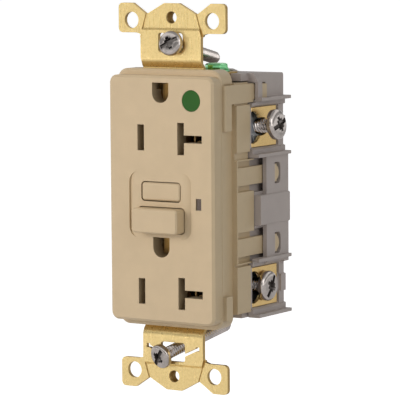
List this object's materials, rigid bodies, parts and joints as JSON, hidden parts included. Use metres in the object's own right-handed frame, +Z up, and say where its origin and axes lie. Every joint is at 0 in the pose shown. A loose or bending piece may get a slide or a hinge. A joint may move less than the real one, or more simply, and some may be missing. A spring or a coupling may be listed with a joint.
{
  "type": "gfci outlet",
  "caption": "Self-testing duplex receptacle with ground openings, test and reset buttons, side screw terminals with wire clamps, a stamped mounting strap and leaning captive box screws.",
  "frame": {"origin": "middle of the two wall-plate screw holes, on the front plane of the strap's ears", "axes": "+X to the right seen from the room, +Y into the wall, +Z up; the face looks towards -Y"},
  "size_m": [0.0435, 0.0379, 0.1044],
  "materials": {
    "ivory_plastic": "satin moulded ivory",
    "ivory_button": "satin moulded ivory",
    "grey_plastic": "moulded warm grey",
    "black_plastic": "moulded",
    "white_plastic": "moulded",
    "green_plastic": "moulded green",
    "clear_plastic": "clear moulding",
    "brass_plated": "bright stamped",
    "brass": "stamped",
    "brass_screw": "turned",
    "nickel_steel": "nickel plated",
    "clamp_steel": "zinc plated",
    "steel": "plain",
    "green_screw": "green dyed",
    "board_green": "solder mask",
    "coil_tape": "taped core",
    "copper_wire": "enamelled wire",
    "component_blue": "dipped"
  },
  "bodies": {
    "housing": {"front_cover": "ivory_plastic", "back_body": "grey_plastic", "mounting_strap": "brass_plated", "ground_contact_upper": "brass", "ground_contact_lower": "brass", "test_contact_pin": "brass", "indicator_lens": "clear_plastic", "indicator_lamp": "green_plastic", "grade_dot": "green_plastic", "contact_carrier": "black_plastic", "hot_contact_strip": "brass", "neutral_contact_strip": "brass", "circuit_board": "board_green", "coil_holder": "black_plastic", "sensor_coil_rear": "coil_tape", "sensor_coil_front": "coil_tape", "hot_busbar": "brass", "neutral_busbar": "brass", "solenoid_bobbin": "white_plastic", "solenoid_winding": "copper_wire", "solenoid_frame": "steel", "latch_spring": "steel", "surge_varistor": "component_blue", "control_chip": "black_plastic", "trip_thyristor": "black_plastic", "filter_capacitors": "component_blue", "board_resistors": "black_plastic", "terminal_plate_neutral_load": "brass", "terminal_plate_neutral_line": "brass", "terminal_plate_hot_load": "brass", "terminal_plate_hot_line": "brass"},
    "test_key": {"test_button": "ivory_button"},
    "test_leaf": {"test_spring": "brass"},
    "reset_key": {"reset_button": "ivory_button", "reset_stem": "steel", "reset_spring": "steel"},
    "lifter": {"lifter_block": "white_plastic"},
    "latch": {"latch_plate": "steel"},
    "plunger": {"solenoid_plunger": "steel"},
    "hot_arm": {"hot_contact_arm": "brass"},
    "neutral_arm": {"neutral_contact_arm": "brass"},
    "ground_screw_body": {"ground_screw": "green_screw"},
    "upper_screw_body": {"box_screw_upper": "nickel_steel"},
    "lower_screw_body": {"box_screw_lower": "nickel_steel"},
    "screw_neutral_load": {"terminal_screw_neutral_load": "nickel_steel"},
    "clamp_neutral_load": {"terminal_clamp_neutral_load": "clamp_steel"},
    "screw_neutral_line": {"terminal_screw_neutral_line": "nickel_steel"},
    "clamp_neutral_line": {"terminal_clamp_neutral_line": "clamp_steel"},
    "screw_hot_load": {"terminal_screw_hot_load": "brass_screw"},
    "clamp_hot_load": {"terminal_clamp_hot_load": "clamp_steel"},
    "screw_hot_line": {"terminal_screw_hot_line": "brass_screw"},
    "clamp_hot_line": {"terminal_clamp_hot_line": "clamp_steel"}
  },
  "joints": [
    {"name": "test_press", "type": "slide", "parent": "housing", "child": "test_key", "axis": [0, 1, 0], "range_m": [0, 0.0012], "stiffness_N_per_m": 300, "springref_m": -0.002},
    {"name": "test_leaf_bend", "type": "hinge", "parent": "housing", "child": "test_leaf", "pos_m": [0, 0.01255, 0.0072], "axis": [1, 0, 0], "range_deg": [0, 17]},
    {"name": "reset_press", "type": "slide", "parent": "housing", "child": "reset_key", "axis": [0, 1, 0], "range_m": [0, 0.003], "stiffness_N_per_m": 500, "springref_m": -0.003, "deforming": ["reset_spring"]},
    {"name": "lifter_slide", "type": "slide", "parent": "housing", "child": "lifter", "axis": [0, -1, 0], "range_m": [0, 0.001], "stiffness_N_per_m": 200, "springref_m": -0.001},
    {"name": "hot_arm_bend", "type": "hinge", "parent": "housing", "child": "hot_arm", "pos_m": [-0.0092, 0.01485, 0.00875], "axis": [-1, 0, 0], "range_deg": [0, 4.2]},
    {"name": "neutral_arm_bend", "type": "hinge", "parent": "housing", "child": "neutral_arm", "pos_m": [0.0092, 0.01485, 0.00875], "axis": [-1, 0, 0], "range_deg": [0, 4.2]},
    {"name": "plunger_slide", "type": "slide", "parent": "housing", "child": "plunger", "axis": [0, 0, 1], "range_m": [0, 0.0015], "stiffness_N_per_m": 40, "springref_m": -0.002},
    {"name": "latch_slide", "type": "slide", "parent": "lifter", "child": "latch", "axis": [0, 0, 1], "range_m": [0, 0.0015]},
    {"name": "ground_screw_turn", "type": "hinge", "parent": "housing", "child": "ground_screw_body", "pos_m": [0.0084, 0.009, 0.0338], "axis": [0, 0, 1], "continuous": true},
    {"name": "upper_screw_turn", "type": "hinge", "parent": "housing", "child": "upper_screw_body", "pos_m": [0.0009, 0, 0.0412], "axis": [0.0684, -0.9775, 0.1994], "continuous": true},
    {"name": "lower_screw_turn", "type": "hinge", "parent": "housing", "child": "lower_screw_body", "pos_m": [-0.0019, 0, -0.04215], "axis": [-0.2347, -0.9415, -0.2419], "continuous": true},
    {"name": "turn_neutral_load", "type": "hinge", "parent": "housing", "child": "screw_neutral_load", "pos_m": [0.0164, 0.0183, 0.0187], "axis": [-0.9925, 0, -0.1219], "range_deg": [-454, 0]},
    {"name": "clamp_slide_neutral_load", "type": "slide", "parent": "housing", "child": "clamp_neutral_load", "axis": [0.9925, 0, 0.1219], "range_m": [-0.001, 0]},
    {"name": "turn_neutral_line", "type": "hinge", "parent": "housing", "child": "screw_neutral_line", "pos_m": [0.0164, 0.0183, -0.0246], "axis": [-1, 0, 0], "range_deg": [0, 862]},
    {"name": "clamp_slide_neutral_line", "type": "slide", "parent": "housing", "child": "clamp_neutral_line", "axis": [1, 0, 0], "range_m": [0, 0.0019]},
    {"name": "turn_hot_load", "type": "hinge", "parent": "housing", "child": "screw_hot_load", "pos_m": [-0.0164, 0.0183, 0.0187], "axis": [1, 0, 0], "range_deg": [0, 862]},
    {"name": "clamp_slide_hot_load", "type": "slide", "parent": "housing", "child": "clamp_hot_load", "axis": [-1, 0, 0], "range_m": [0, 0.0019]},
    {"name": "turn_hot_line", "type": "hinge", "parent": "housing", "child": "screw_hot_line", "pos_m": [-0.0164, 0.0183, -0.0246], "axis": [1, 0, 0], "range_deg": [0, 862]},
    {"name": "clamp_slide_hot_line", "type": "slide", "parent": "housing", "child": "clamp_hot_line", "axis": [-1, 0, 0], "range_m": [0, 0.0019]}
  ],
  "couplings": [
    {"joint": "test_leaf_bend", "follows": "test_press", "rad_per_m": 240},
    {"joint": "hot_arm_bend", "follows": "lifter_slide", "rad_per_m": 70.4},
    {"joint": "neutral_arm_bend", "follows": "lifter_slide", "rad_per_m": 70.4},
    {"joint": "latch_slide", "follows": "plunger_slide", "ratio": 1},
    {"joint": "turn_neutral_load", "follows": "clamp_slide_neutral_load", "rad_per_m": 7913.4},
    {"joint": "turn_neutral_line", "follows": "clamp_slide_neutral_line", "rad_per_m": 7913.4},
    {"joint": "turn_hot_load", "follows": "clamp_slide_hot_load", "rad_per_m": 7913.4},
    {"joint": "turn_hot_line", "follows": "clamp_slide_hot_line", "rad_per_m": 7913.4}
  ]
}
